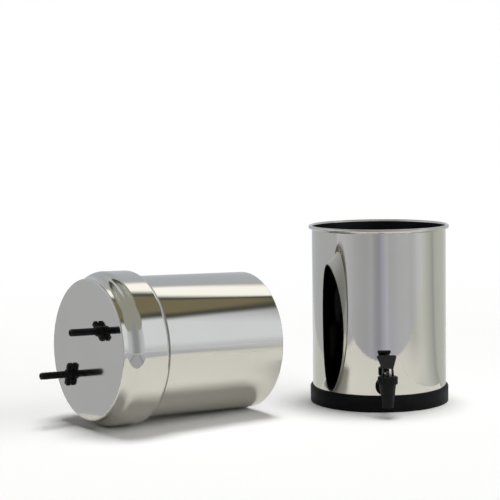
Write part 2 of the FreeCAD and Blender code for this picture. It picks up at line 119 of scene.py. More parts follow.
paper_tree.links.new(paper_shader.outputs[0], paper_or_white.inputs[1])
paper_tree.links.new(plain_white.outputs[0], paper_or_white.inputs[2])
paper_tree.links.new(paper_or_white.outputs[0], paper_tree.nodes["Material Output"].inputs["Surface"])

ROOM_LIGHT = 0.14
world = bpy.data.worlds.new("studio")
scene.world = world
world.use_nodes = True
room = world.node_tree
even_light = room.nodes["Background"]
even_light.inputs["Color"].default_value = (1.0, 0.997, 0.99, 1)
even_light.inputs["Strength"].default_value = ROOM_LIGHT
white_back = room.nodes.new("ShaderNodeBackground")
white_back.inputs["Color"].default_value = (1, 1, 1, 1)
ray_kind = room.nodes.new("ShaderNodeLightPath")
last_shader = even_light.outputs[0]
for kind in ("Is Glossy Ray", "Is Transmission Ray", "Is Camera Ray"):
    white_if_so = room.nodes.new("ShaderNodeMixShader")
    room.links.new(ray_kind.outputs[kind], white_if_so.inputs["Fac"])
    room.links.new(last_shader, white_if_so.inputs[1])
    room.links.new(white_back.outputs[0], white_if_so.inputs[2])
    last_shader = white_if_so.outputs[0]
room.links.new(last_shader, room.nodes["World Output"].inputs["Surface"])


def soft_lamp(name, strength, spread, heading):
    """A far, wide lamp that shines along a heading."""
    light = bpy.data.lights.new(name, "SUN")
    light.energy = strength
    light.angle = math.radians(spread)
    lamp = bpy.data.objects.new(name, light)
    scene.collection.objects.link(lamp)
    lamp.rotation_euler = Vector(heading).to_track_quat("-Z", "Y").to_euler()


soft_lamp("lamp_overhead", strength=2.25, spread=25, heading=(-0.06, -0.12, -1.0))
soft_lamp("window_on_right", strength=1.2, spread=60, heading=(-0.95, 0.35, -0.50))


# The room round the table, as the polished steel mirrors it: cool grey walls, a window on the right,
# a bright line of lamps over the back wall, and a dark ceiling beside it. Only the steel shows it.
def fade(value, start, end):
    share = min(max((value - start) / (end - start), 0.0), 1.0)
    return share * share * (3 - 2 * share)


def between(stops, value):
    """Runs straight from stop to stop."""
    if value <= stops[0][0]:
        return stops[0][1]
    for (low, first), (high, last) in zip(stops, stops[1:]):
        if value <= high:
            return first + (last - first) * (value - low) / (high - low)
    return stops[-1][1]


def blended(first, last, share):
    return tuple(a + (b - a) * share for a, b in zip(first, last))


def cool(tone):
    return (0.95 * tone, tone, 1.11 * tone)


def in_span(value, start, end):
    """One between a start and an end, each of which is itself a short fade."""
    return fade(value, *start) * (1 - fade(value, *end))


# Bearings run from the camera's side (0) through +X (90); heights are angles over the table.
# WALL_TOPS says how high the walls reach at each bearing.
WALL_TONES = [(-180, 0.61), (-150, 0.59), (-130, 0.64), (-108, 0.75), (-90, 0.82), (-72, 0.78), (-60, 0.65),
              (-50, 0.55), (-36, 0.42), (-20, 0.42), (-8, 0.46), (0, 0.55), (12, 0.62), (24, 0.75),
              (48, 0.80), (58, 0.95), (64, 1.06), (76, 1.06), (82, 0.85), (88, 0.64), (100, 0.61),
              (140, 0.62), (165, 0.66), (180, 0.61)]
WALL_TOPS = [(-180, 60), (-165, 63), (-150, 61), (-138, 57), (-126, 51), (-114, 50), (-100, 54),
             (-90, 57), (-78, 58), (-66, 52), (-54, 46), (-42, 38), (-36, 30), (36, 32), (60, 35),
             (72, 38.5), (84, 42.3), (96, 44), (108, 45.5), (113, 48), (118, 53), (124, 56), (132, 58),
             (146, 60), (160, 58), (180, 60)]
CEILING, DARK_CEILING, DARK_BEAM = (0.44, 0.45, 0.42), (0.27, 0.24, 0.15), (0.10, 0.10, 0.09)
LAMP_LINE = (1.6, 1.58, 1.58)
LAMP_LOW, LAMP_START, LAMP_END = (45, 51), (108, 122), (158, 172)
DIM_FOOT, FOOT_HEIGHT, FOOT_START, FOOT_END = 0.2, (0, 10), (48, 60), (76, 90)
RIGHT_START, RIGHT_END, RIGHT_TOP = (62, 82), (126, 150), (57, 70)
LEFT_START, LEFT_END, LEFT_TOP_LOW, LEFT_TOP_HIGH = (-172, -160), (-116, -100), 8, 18
BEAM_LOW, BEAM_HIGH, TOP_LOW, TOP_HIGH = 2.5, 6, -2.5, 2


def room_tone(bearing, height):
    top = between(WALL_TOPS, bearing)
    wall = cool(between(WALL_TONES, bearing))
    wall = blended(wall, LAMP_LINE, fade(height, *LAMP_LOW) * in_span(bearing, LAMP_START, LAMP_END))
    foot = DIM_FOOT * (1 - fade(height, *FOOT_HEIGHT)) * in_span(bearing, FOOT_START, FOOT_END)
    wall = blended(wall, (0, 0, 0), foot)
    on_right = in_span(bearing, RIGHT_START, RIGHT_END) * (1 - fade(height, *RIGHT_TOP))
    on_left = in_span(bearing, LEFT_START, LEFT_END) \
        * (1 - fade(height, top + LEFT_TOP_LOW, top + LEFT_TOP_HIGH))
    over_right = blended(DARK_BEAM, DARK_CEILING, fade(height, top + BEAM_LOW, top + BEAM_HIGH))
    over = blended(blended(CEILING, over_right, on_right), DARK_BEAM, on_left)
    return blended(wall, over, fade(height, top + TOP_LOW, top + TOP_HIGH))


def show_in_steel_only(name, points, faces, tones):
    """A glowing sheet with a tone at each point, seen by mirror rays and by nothing else."""
    sheet = new_object(name, points, faces)
    layer = sheet.data.attributes.new("tone", "FLOAT_COLOR", "POINT")
    for item, tone in zip(layer.data, tones):
        item.color = (*tone, 1)
    sheet.data.materials.append(room_glow)
    sheet.visible_camera = False
    sheet.visible_diffuse = False
    sheet.visible_shadow = False
    sheet.visible_transmission = False


room_glow = bpy.data.materials.new("room tones")
room_glow.use_nodes = True
glow_tree = room_glow.node_tree
glow_tree.nodes.remove(glow_tree.nodes["Principled BSDF"])
glow = glow_tree.nodes.new("ShaderNodeEmission")
tone_reader = glow_tree.nodes.new("ShaderNodeAttribute")
tone_reader.attribute_name = "tone"
glow_tree.links.new(tone_reader.outputs["Color"], glow.inputs["Color"])
glow_tree.links.new(glow.outputs[0], glow_tree.nodes["Material Output"].inputs["Surface"])


def grid_faces(columns, rows):
    return [(j * (columns + 1) + i, j * (columns + 1) + i + 1,
             (j + 1) * (columns + 1) + i + 1, (j + 1) * (columns + 1) + i)
            for j in range(rows) for i in range(columns)]


DOME_CENTRE = Vector((-0.12, -0.1, 0.15))
DOME_RADIUS = 8.0
dome_points, dome_tones = [], []
for height in range(-2, 91):
    for bearing in range(-180, 181):
        side, lift = math.radians(bearing), math.radians(height)
        dome_points.append(DOME_CENTRE + DOME_RADIUS * Vector(
            (math.sin(side) * math.cos(lift), -math.cos(side) * math.cos(lift), math.sin(lift))))
        dome_tones.append(room_tone(bearing, height))
show_in_steel_only("room_walls", dome_points, grid_faces(360, 92), dome_tones)

# The table as the steel mirrors it: bright paper round the object, less bright to the sides and the
# back. Its front edge is near, and the floor beyond it is dim. Tones go by the bearing, as above.
GROUND_TONES = [(-180, 0.84), (-165, 0.84), (-150, 0.80), (-115, 0.77), (-90, 0.78), (-66, 0.72),
                (-54, 0.67), (-46, 0.61), (-36, 0.56), (-26, 0.54), (-21, 0.56), (-19, 0.57),
                (-17, 0.58), (-15.5, 0.56),
                (-14, 0.52), (-10, 0.45), (-5, 0.42), (-2, 0.45), (0, 0.52), (4, 0.58), (7.5, 0.67),
                (10, 0.65), (13, 0.60), (19, 0.62), (30, 0.67), (42, 0.69), (50, 0.66), (56, 0.70),
                (62, 0.80), (70, 0.84), (78, 0.76), (84, 0.69), (93, 0.58), (97, 0.50), (99, 0.52),
                (102, 0.64), (108, 0.67), (135, 0.70), (150, 0.74), (165, 0.82), (180, 0.84)]
TABLE_EDGE = -0.69
BRIGHT_LEFT, BRIGHT_RIGHT, BRIGHT_BACK = -0.68, 0.30, 0.05
BRIGHT_PAPER, LEFT_PAPER = (0.975, 0.975, 0.965), (0.60, 0.62, 0.68)
LEFT_BLUR_X, LEFT_BLUR_Y = (0.68, 0.76), (-0.5, -0.4)
RIGHT_BLUR_X, RIGHT_BLUR_Y = (BRIGHT_RIGHT, 0.95), (-0.3, -0.08)
FLOOR_BLUE, FLOOR_BLUER, BLUER_SPAN = 1.11, 0.10, (0.15, 0.5)
FAR = 6.0
ABOVE_PAPER = 0.0015


def ground_tone(x, y):
    level = between(GROUND_TONES, math.degrees(math.atan2(x, -y)))
    if y < TABLE_EDGE - 0.0001:
        return (0.97 * level, level, (FLOOR_BLUE + FLOOR_BLUER * (1 - fade(abs(x), *BLUER_SPAN))) * level)
    tone = (0.96 * level, level, 0.98 * level)
    if x <= BRIGHT_LEFT:
        return blended(BRIGHT_PAPER, LEFT_PAPER, max(fade(-x, *LEFT_BLUR_X), fade(y, *LEFT_BLUR_Y)))
    return blended(tone, BRIGHT_PAPER, (1 - fade(x, *RIGHT_BLUR_X)) * (1 - fade(y, *RIGHT_BLUR_Y)))


def ground_sheet(name, columns, rows, left, right, near, far, both_ways=False):
    """A sheet just over the paper; its stations lie closer together near the object."""
    spots = []
    for j in range(rows + 1):
        for i in range(columns + 1):
            across = i / columns if both_ways else (i / columns) ** 2
            spots.append((left + (right - left) * across, near + (far - near) * (j / rows) ** 2))
    show_in_steel_only(name, [(x, y, ABOVE_PAPER) for x, y in spots], grid_faces(columns, rows),
                       [ground_tone(x, y) for x, y in spots])


ground_sheet("floor_in_front", 300, 24, -FAR, FAR, TABLE_EDGE - 0.001, -FAR, both_ways=True)
ground_sheet("table_on_right", 40, 90, BRIGHT_RIGHT, FAR, TABLE_EDGE, FAR)
ground_sheet("table_on_left", 40, 90, BRIGHT_LEFT, -FAR, TABLE_EDGE, FAR)
ground_sheet("table_behind", 16, 30, BRIGHT_LEFT, BRIGHT_RIGHT, BRIGHT_BACK, FAR, both_ways=True)

# The camera stands a little above the two chambers, about three metres in front of them, and looks
# slightly down. Its place and lens were fitted to the outlines in the photograph.
CAMERA_PLACE = (-0.25667, -2.96965, 0.56991)
CAMERA_YAW, CAMERA_PITCH, CAMERA_ROLL = 0.0040, 0.0936, -0.0127
CAMERA_LENS = 112.87
camera = bpy.data.objects.new("camera", bpy.data.cameras.new("camera"))
scene.collection.objects.link(camera)
scene.camera = camera
camera.data.lens = CAMERA_LENS
camera.data.clip_end = 30
ahead = Vector((math.sin(CAMERA_YAW) * math.cos(CAMERA_PITCH),
                math.cos(CAMERA_YAW) * math.cos(CAMERA_PITCH), -math.sin(CAMERA_PITCH)))
level_right = Vector((math.cos(CAMERA_YAW), -math.sin(CAMERA_YAW), 0))
level_up = level_right.cross(ahead)
right = level_right * math.cos(CAMERA_ROLL) + level_up * math.sin(CAMERA_ROLL)
up = level_up * math.cos(CAMERA_ROLL) - level_right * math.sin(CAMERA_ROLL)
camera.matrix_world = Matrix((
    (right.x, up.x, -ahead.x, CAMERA_PLACE[0]),
    (right.y, up.y, -ahead.y, CAMERA_PLACE[1]),
    (right.z, up.z, -ahead.z, CAMERA_PLACE[2]),
    (0, 0, 0, 1)))
scene.view_settings.view_transform = "Standard"


# Receiving chamber: a straight wall and floor in polished stainless sheet, its one seam welded and
# ground flat at the back. The rim is rolled outwards into a full round bead; inside, the steel is
# painted near black, a painted shade.
def arc(centre, radius, start, end, steps):
    """Stations along an arc of a section, as (radius, height)."""
    return [(centre[0] + radius * math.cos(math.radians(start + (end - start) * i / steps)),
             centre[1] + radius * math.sin(math.radians(start + (end - start) * i / steps)))
            for i in range(steps + 1)]


def held_flat(section, margin=0.0004):
    """Adds stations just inside the ends of long straight runs, so that they mirror as flat."""
    stations = [section[0]]
    for (radius, height), (next_radius, next_height) in zip(section, section[1:]):
        length = math.dist((radius, height), (next_radius, next_height))
        if length > 10 * margin:
            for share in (margin / length, 1 - margin / length):
                stations.append((radius + (next_radius - radius) * share,
                                 height + (next_height - height) * share))
        stations.append((next_radius, next_height))
    return stations


def spun(name, section, place=Matrix.Identity(4), around=96, sharp=35, finish=None, ripple=None):
    """A piece turned about its own Z axis from a section of (radius, height) stations, then placed.

    The section closes on itself unless it starts and ends on the axis. finish gives the number of
    a row's material, and ripple changes the radius at an angle and a station.
    """
    points, rings = [], []
    for station, (radius, height) in enumerate(section):
        if radius < 1e-7:
            rings.append([len(points)])
            points.append(place @ Vector((0, 0, height)))
            continue
        rings.append(list(range(len(points), len(points) + around)))
        for k in range(around):
            angle = 2 * math.pi * k / around
            reach = ripple(angle, station) if ripple else radius
            points.append(place @ Vector((reach * math.cos(angle), reach * math.sin(angle), height)))
    pairs = list(zip(range(len(rings)), list(range(1, len(rings))) + [0]))
    if len(rings[0]) == 1 and len(rings[-1]) == 1:
        pairs = pairs[:-1]
    girth = 2 * math.pi * max(radius for radius, height in section)
    faces, marks, laid = [], [], []
    along = 0.0
    for row, (low, high) in enumerate(pairs):
        step = math.dist(section[low], section[high])
        for k in range(around):
            after = (k + 1) % around
            start, end = girth * k / around, girth * (k + 1) / around
            corners = [(rings[low][k % len(rings[low])], (start, along)),
                       (rings[low][after % len(rings[low])], (end, along)),
                       (rings[high][after % len(rings[high])], (end, along + step)),
                       (rings[high][k % len(rings[high])], (start, along + step))]
            if len(rings[low]) == 1:
                corners.pop(1)
            elif len(rings[high]) == 1:
                corners.pop(3)
            faces.append(tuple(corner for corner, spot in corners))
            laid += [number for corner, spot in corners for number in spot]
            marks.append(finish(row) if finish else 0)
        along += step
    piece = new_object(name, points, faces)
    piece.data.uv_layers.new(name="round_and_along").data.foreach_set("uv", laid)
    piece.data.polygons.foreach_set("material_index", marks)
    tidy_normals(piece, sharp)
    return piece


def tidy_normals(piece, sharp):
    shape = bmesh.new()
    shape.from_mesh(piece.data)
    bmesh.ops.recalc_face_normals(shape, faces=shape.faces)
    shape.to_mesh(piece.data)
    shape.free()
    piece.data.set_sharp_from_angle(angle=math.radians(sharp))


def place_piece(piece, body, slot, node, *materials):
    """Gives a finished piece its materials and its body, and hides the CAD node that it stands for. The
    slot is not used.
    """
    for material in materials:
        piece.data.materials.append(material)
    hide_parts(node)
    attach(piece, body)
    return piece


def grain(tree, scale, detail=3.0, laid_round=False):
    """Noise in the piece's own space, or along its round (x) and its section (y), per metre."""
    place = tree.nodes.new("ShaderNodeTexCoord")
    stretcher = tree.nodes.new("ShaderNodeMapping")
    stretcher.inputs["Scale"].default_value = scale
    noise = tree.nodes.new("ShaderNodeTexNoise")
    noise.inputs["Scale"].default_value = 1.0
    noise.inputs["Detail"].default_value = detail
    tree.links.new(place.outputs["UV" if laid_round else "Object"], stretcher.inputs["Vector"])
    tree.links.new(stretcher.outputs["Vector"], noise.inputs["Vector"])
    return noise


def spread(tree, noise, low, high, socket):
    """Lets a noise drive a socket between two values."""
    scale = tree.nodes.new("ShaderNodeMapRange")
    scale.inputs["From Min"].default_value = 0.3
    scale.inputs["From Max"].default_value = 0.7
    scale.inputs["To Min"].default_value = low
    scale.inputs["To Max"].default_value = high
    tree.links.new(noise.outputs["Fac"], scale.inputs["Value"])
    tree.links.new(scale.outputs["Result"], socket)


def tint(tree, noise, low, high, shader):
    """Lets a noise move the colour between two tones."""
    tones = tree.nodes.new("ShaderNodeValToRGB")
    tones.color_ramp.elements[0].color = (*low, 1)
    tones.color_ramp.elements[1].color = (*high, 1)
    tones.color_ramp.elements[0].position = 0.3
    tones.color_ramp.elements[1].position = 0.7
    tree.links.new(noise.outputs["Fac"], tones.inputs["Fac"])
    tree.links.new(tones.outputs["Color"], shader.inputs["Base Color"])


def raise_grain(tree, noise, strength, depth, shader):
    bump = tree.nodes.new("ShaderNodeBump")
    bump.inputs["Strength"].default_value = strength
    bump.inputs["Distance"].default_value = depth
    tree.links.new(noise.outputs["Fac"], bump.inputs["Height"])
    tree.links.new(bump.outputs["Normal"], shader.inputs["Normal"])


def polished_steel(name, smooth, dull, wave):
    """Stainless sheet polished round its axis, with faint polishing lines and a slight wave."""
    material, tree, shader = new_material(name, (0.58, 0.56, 0.50), smooth, 1.0)
    spread(tree, grain(tree, (40, 2600, 1), 4, True), smooth, dull, shader.inputs["Roughness"])
    tint(tree, grain(tree, (9, 9, 9)), (0.572, 0.553, 0.494), (0.592, 0.572, 0.512), shader)
    raise_grain(tree, grain(tree, (14, 14, 14), 1), wave, 0.001, shader)
    return material


mirror_steel = polished_steel("mirror polished steel", 0.025, 0.06, 0.02)
disk_steel = polished_steel("satin polished disk", 0.07, 0.12, 0.03)

# The insides of both chambers are steel painted near black: painted shade in the recess.
inside_shade_steel, inside_shade_tree, inside_shade_shader = new_material("steel inside with painted shade", (0.02, 0.02, 0.02), 0.35, 1.0)
tint(inside_shade_tree, grain(inside_shade_tree, (40, 2600, 1), 4, True), (0.010, 0.010, 0.011), (0.035, 0.035, 0.033),
     inside_shade_shader)
spread(inside_shade_tree, grain(inside_shade_tree, (12, 12, 12)), 0.28, 0.45, inside_shade_shader.inputs["Roughness"])

BODY_RADIUS = 0.127
WALL = 0.0008
BEAD_RADIUS, BEAD_HEIGHT = 0.0036, 0.3336
FLOOR_CORNER, FLOOR_HEIGHT = 0.006, 0.003
bead_middle = (BODY_RADIUS - WALL + BEAD_RADIUS, BEAD_HEIGHT)
outside = [(0, FLOOR_HEIGHT)]
outside += arc((BODY_RADIUS - FLOOR_CORNER, FLOOR_HEIGHT + FLOOR_CORNER), FLOOR_CORNER, -90, 0, 6)
outside += [(BODY_RADIUS, BEAD_HEIGHT - BEAD_RADIUS - 0.0012)]
outside = held_flat(outside)
bead = arc(bead_middle, BEAD_RADIUS, -105, 180, 26)
inside = [(BODY_RADIUS - WALL, FLOOR_HEIGHT + FLOOR_CORNER)]
inside += arc((BODY_RADIUS - FLOOR_CORNER, FLOOR_HEIGHT + FLOOR_CORNER), FLOOR_CORNER - WALL, 0, -90, 6)[1:]
inside += [(0, FLOOR_HEIGHT + WALL)]
inner_row = len(outside) + len(bead) - 1
seam_behind = Matrix.Rotation(math.radians(90), 4, "Z")
receiving = spun("receiving_shell", outside + bead + held_flat([bead[-1]] + inside)[1:], seam_behind,
                 around=256, finish=lambda row: 1 if row >= inner_row else 0)
place_piece(receiving, "receiving", "polished_steel", "receiving_chamber", mirror_steel, inside_shade_steel)

# Base ring: moulded black rubber that the chamber's floor edge drops into. Its outer edges are
# rounded and its lip reaches a little way under the floor.
black_rubber, rubber_tree, rubber_shader = new_material("black rubber", (0.004, 0.004, 0.0045), 0.5)
rubber_shader.inputs["Specular IOR Level"].default_value = 0.08
rubber_bloom = grain(rubber_tree, (60, 60, 60))
tint(rubber_tree, rubber_bloom, (0.0025, 0.0025, 0.003), (0.006, 0.006, 0.0065), rubber_shader)
spread(rubber_tree, rubber_bloom, 0.45, 0.62, rubber_shader.inputs["Roughness"])
raise_grain(rubber_tree, grain(rubber_tree, (900, 900, 900)), 0.25, 0.0002, rubber_shader)

RING_RADIUS, RING_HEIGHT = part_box("base_ring")[1].x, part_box("base_ring")[1].z
RING_LIP, RING_EDGE, RING_GAP, RING_BREAK = 0.016, 0.0018, 0.0001, 0.0006
ring_section = arc((RING_RADIUS - RING_EDGE, RING_EDGE), RING_EDGE, -90, 0, 5)
ring_section += arc((RING_RADIUS - RING_EDGE, RING_HEIGHT - RING_EDGE), RING_EDGE, 0, 90, 5)
ring_section += [(BODY_RADIUS + RING_GAP + RING_BREAK, RING_HEIGHT),
                 (BODY_RADIUS + RING_GAP, RING_HEIGHT - RING_BREAK),
                 (BODY_RADIUS + RING_GAP, FLOOR_HEIGHT - RING_GAP),
                 (RING_RADIUS - RING_LIP, FLOOR_HEIGHT - RING_GAP),
                 (RING_RADIUS - RING_LIP, 0.0)]
place_piece(spun("base_ring_moulded", ring_section, around=192),
            "receiving", "black_rubber", "base_ring", black_rubber)

# Tap body: one black moulding, a tapered barrel and spout on a shank with a collar. The shank's
# threaded tail passes through the chamber's wall, and water leaves by the open foot of the spout.
black_plastic, plastic_tree, plastic_shader = new_material("black moulded plastic",
                                                           (0.003, 0.003, 0.003), 0.3)
plastic_shader.inputs["Specular IOR Level"].default_value = 0.12
tint(plastic_tree, grain(plastic_tree, (45, 45, 45)), (0.002, 0.002, 0.0025), (0.005, 0.005, 0.0055),
     plastic_shader)
spread(plastic_tree, grain(plastic_tree, (120, 120, 120)), 0.24, 0.38, plastic_shader.inputs["Roughness"])
raise_grain(plastic_tree, grain(plastic_tree, (1500, 1500, 1500)), 0.12, 0.0001, plastic_shader)


def moulded(name, solids, cell, passes, sharp=60):
    """One moulding run together from closed solids, with its edges softened."""
    shape = bmesh.new()
    for solid in solids:
        shape.from_mesh(solid.data)
    bmesh.ops.remove_doubles(shape, verts=shape.verts, dist=1e-6)
    mesh = bpy.data.meshes.new(name)
    shape.to_mesh(mesh)
    shape.free()
    piece = bpy.data.objects.new(name, mesh)
    scene.collection.objects.link(piece)
    together = piece.modifiers.new("run together", "REMESH")
    together.mode = "VOXEL"
    together.voxel_size = cell
    together.use_smooth_shade = True
    soften = piece.modifiers.new("soften", "SMOOTH")
    soften.factor = 0.5
    soften.iterations = passes
    settle(piece)
    for solid in solids:
        if "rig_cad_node" not in solid:
            bpy.data.objects.remove(solid)
    return piece


def settle(piece):
    """Turns a piece's modifiers into its mesh."""
    graph = bpy.context.evaluated_depsgraph_get()
    settled = bpy.data.meshes.new_from_object(piece.evaluated_get(graph))
    piece.modifiers.clear()
    piece.data = settled


def bored(piece, tool):
    """Takes a turned tool's space out of a piece."""
    cut = piece.modifiers.new("bore", "BOOLEAN")
    cut.operation = "DIFFERENCE"
    cut.solver = "EXACT"
    cut.object = tool
    settle(piece)
    bpy.data.objects.remove(tool)
    piece.data.set_sharp_from_angle(angle=math.radians(40))


TAP_Y, TAP_Z = -0.177, 0.049
tap_place = Matrix.Translation((0, TAP_Y, TAP_Z))
towards_wall = Matrix.Rotation(math.radians(-90), 4, "X")
SPOUT_DROP, SPOUT_RADIUS, SPOUT_BORE = 0.0304, 0.0103, 0.0075
BARREL_RISE, BARREL_TOP_RADIUS, NECK_RADIUS, NECK_TOP = 0.0125, 0.0151, 0.0138, 0.0236
SHANK_RADIUS, COLLAR_RADIUS, COLLAR_THICKNESS = 0.008, 0.0125, 0.0035
WASHER_FRONT = -0.130
barrel = spun("barrel", [(0, -SPOUT_DROP), (SPOUT_RADIUS, -SPOUT_DROP), (BARREL_TOP_RADIUS, BARREL_RISE),
                         (NECK_RADIUS, BARREL_RISE), (NECK_RADIUS, NECK_TOP), (0, NECK_TOP)], tap_place)
shank = spun("shank", [(0, 0), (SHANK_RADIUS, 0), (SHANK_RADIUS, WASHER_FRONT - TAP_Y),
                       (0, WASHER_FRONT - TAP_Y)], tap_place @ towards_wall)
collar_start = WASHER_FRONT - TAP_Y - COLLAR_THICKNESS
collar = spun("collar", [(0, collar_start), (COLLAR_RADIUS - 0.001, collar_start),
                         (COLLAR_RADIUS, collar_start + 0.001), (COLLAR_RADIUS, WASHER_FRONT - TAP_Y),
                         (0, WASHER_FRONT - TAP_Y)], tap_place @ towards_wall)
body = moulded("tap_body_moulded", [barrel, shank, collar], cell=0.00045, passes=6)
VALVE_BORE, SEAT_DROP, SHANK_BORE = 0.0115, 0.009, 0.0045
bored(body, spun("waterway", [(0, -SPOUT_DROP - 0.002), (SPOUT_BORE, -SPOUT_DROP - 0.002),
                              (SPOUT_BORE, -SEAT_DROP), (VALVE_BORE, -SEAT_DROP),
                              (VALVE_BORE, NECK_TOP + 0.002), (0, NECK_TOP + 0.002)], tap_place))
place_piece(body, "receiving", "black_plastic", "tap_body", black_plastic)


THREAD_STATIONS = 6


def threaded(name, section, rows, pitch, crest, root, place, around=64):
    """A turned piece whose stations in rows carry a right-hand thread."""
    def thread(angle, station):
        radius, height = section[station]
        if station not in rows:
            return radius
        turn = (height / pitch - angle / (2 * math.pi)) % 1.0
        flank = min(1.0, 1.7 * (1 - abs(2 * turn - 1)))
        ends = min(station - rows[0], rows[-1] - station) / THREAD_STATIONS
        return root + (crest - root) * flank * min(1.0, ends)
    return spun(name, section, place, around, ripple=thread, sharp=60)


def thread_stations(start, end, pitch, radius):
    count = round(abs(end - start) / pitch * THREAD_STATIONS)
    return [(radius, start + (end - start) * i / count) for i in range(count + 1)]


TAIL_START, TAIL_END, TAIL_PITCH, TAIL_ROOT = WASHER_FRONT - TAP_Y - 0.0005, 0.0668, 0.0015, 0.0073
tail_thread = thread_stations(TAIL_START, TAIL_END, TAIL_PITCH, SHANK_RADIUS)
tail = threaded("tap_shank_thread", [(SHANK_BORE, TAIL_START)] + tail_thread + [(SHANK_BORE, TAIL_END)],
                range(1, len(tail_thread) + 1), TAIL_PITCH, SHANK_RADIUS - 0.00005, TAIL_ROOT,
                tap_place @ towards_wall)
place_piece(tail, "receiving", "black_plastic", "tap_body", black_plastic)

# Tap bonnet: a fluted cap in moulded black plastic. It screws over the barrel's neck, holds the
# spring down and guides the stem through its middle.
BONNET_FOOT, BONNET_TOP, BONNET_RADIUS, BONNET_BORE = 0.0128, 0.0271, 0.0183, 0.0141
STEM_HOLE = 0.0027
FLUTES, FLUTE_DEPTH = 20, 0.0011
bonnet_section = [(BONNET_BORE, BONNET_FOOT), (0.0172, BONNET_FOOT), (0.0181, BONNET_FOOT + 0.0006),
                  (BONNET_RADIUS, BONNET_FOOT + 0.0018), (BONNET_RADIUS, BONNET_TOP - 0.0034),
                  (0.0181, BONNET_TOP - 0.0021), (0.0172, BONNET_TOP - 0.0009),
                  (0.0158, BONNET_TOP - 0.0003), (0.0140, BONNET_TOP), (STEM_HOLE, BONNET_TOP),
                  (STEM_HOLE, NECK_TOP), (BONNET_BORE, NECK_TOP)]


def fluted(angle, station):
    radius = bonnet_section[station][0]
    if not 2 <= station <= 6:
        return radius
    return radius - FLUTE_DEPTH * (0.5 - 0.5 * math.cos(FLUTES * angle)) ** 2


bonnet = spun("tap_bonnet_fluted", bonnet_section, tap_place, FLUTES * 12, ripple=fluted)
place_piece(bonnet, "receiving", "black_plastic", "tap_bonnet", black_plastic)


# Tap washers: soft black rubber on both sides of the chamber's wall, drawn into its curve, and the
# plastic hexagon nut that holds them there.
def saddle_washer(name, node, radius, hole, flat_face, wall_radius, edge):
    """A washer whose flat face stands on one side and whose other face lies on the round wall."""
    loops = [(hole, 0.0), (radius - edge, 0.0), (radius - 0.3 * edge, 0.1), (radius, 0.35),
             (radius, 1.0), (hole, 1.0)]
    around = 96
    points = []
    for reach, share in loops:
        for k in range(around):
            angle = 2 * math.pi * k / around
            x = reach * math.cos(angle)
            on_wall = -math.sqrt(wall_radius ** 2 - x * x)
            points.append((x, flat_face + (on_wall - flat_face) * share, TAP_Z + reach * math.sin(angle)))
    faces = []
    for row in range(len(loops)):
        low, high = row * around, (row + 1) % len(loops) * around
        faces += [(low + k, low + (k + 1) % around, high + (k + 1) % around, high + k)
                  for k in range(around)]
    washer = new_object(name, points, faces)
    tidy_normals(washer, 35)
    place_piece(washer, "receiving", "black_rubber", node, black_rubber)


WASHER_HOLE, WASHER_EDGE = 0.0081, 0.0008
saddle_washer("tap_washer_outside", "tap_outer_washer", radius=0.0182, hole=WASHER_HOLE,
              flat_face=WASHER_FRONT, wall_radius=0.12705, edge=WASHER_EDGE)
saddle_washer("tap_washer_inside", "tap_inner_washer", radius=0.0149, hole=WASHER_HOLE,
              flat_face=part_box("tap_inner_washer")[1].y, wall_radius=0.12615, edge=WASHER_EDGE)
shank_nut = moulded("tap_shank_nut_moulded", [frame["nodes"]["tap_shank_nut"]], cell=0.0004, passes=3)
place_piece(shank_nut, "receiving", "black_plastic", "tap_shank_nut", black_plastic)

# Valve: a stem of black acetal with an eye at its top, a soft seat cup on its foot, and the wound
# stainless spring that closes it. The spring stands on the cup and presses on the bonnet.
black_acetal, acetal_tree, acetal_shader = new_material("black acetal", (0.02, 0.02, 0.021), 0.28)
acetal_shader.inputs["Specular IOR Level"].default_value = 0.3
tint(acetal_tree, grain(acetal_tree, (90, 90, 90)), (0.006, 0.006, 0.0065), (0.011, 0.011, 0.0115),
     acetal_shader)
spread(acetal_tree, grain(acetal_tree, (300, 300, 300)), 0.22, 0.34, acetal_shader.inputs["Roughness"])
stem = moulded("tap_stem_moulded", [frame["nodes"]["tap_stem"]], cell=0.00025, passes=2)
place_piece(stem, "valve", "stem_plastic", "tap_stem", black_acetal)

silicone, silicone_tree, silicone_shader = new_material("grey silicone", (0.5, 0.49, 0.46), 0.45)
tint(silicone_tree, grain(silicone_tree, (80, 80, 80)), (0.46, 0.45, 0.42), (0.53, 0.52, 0.49),
     silicone_shader)
spread(silicone_tree, grain(silicone_tree, (400, 400, 400)), 0.4, 0.55, silicone_shader.inputs["Roughness"])
CUP_RADIUS, CUP_TOP, CUP_EDGE = 0.0084, -0.001, 0.0012
cup_section = [(0, -SEAT_DROP)]
cup_section += arc((CUP_RADIUS - CUP_EDGE, -SEAT_DROP + CUP_EDGE), CUP_EDGE, -90, 0, 4)
cup_section += arc((CUP_RADIUS - CUP_EDGE, CUP_TOP - CUP_EDGE), CUP_EDGE, 0, 90, 4)
cup_section += [(0.0040, CUP_TOP), (0.0036, CUP_TOP - 0.0006), (0, CUP_TOP - 0.0006)]
place_piece(spun("tap_seat_cup_moulded", cup_section, tap_place, 64),
            "valve", "valve_rubber", "tap_seat_cup", silicone)

spring_steel, wire_tree, wire_shader = new_material("drawn stainless wire", (0.6, 0.59, 0.56), 0.2, 1.0)
tint(wire_tree, grain(wire_tree, (200, 200, 200)), (0.54, 0.53, 0.50), (0.63, 0.62, 0.59), wire_shader)
spread(wire_tree, grain(wire_tree, (600, 600, 600)), 0.14, 0.28, wire_shader.inputs["Roughness"])


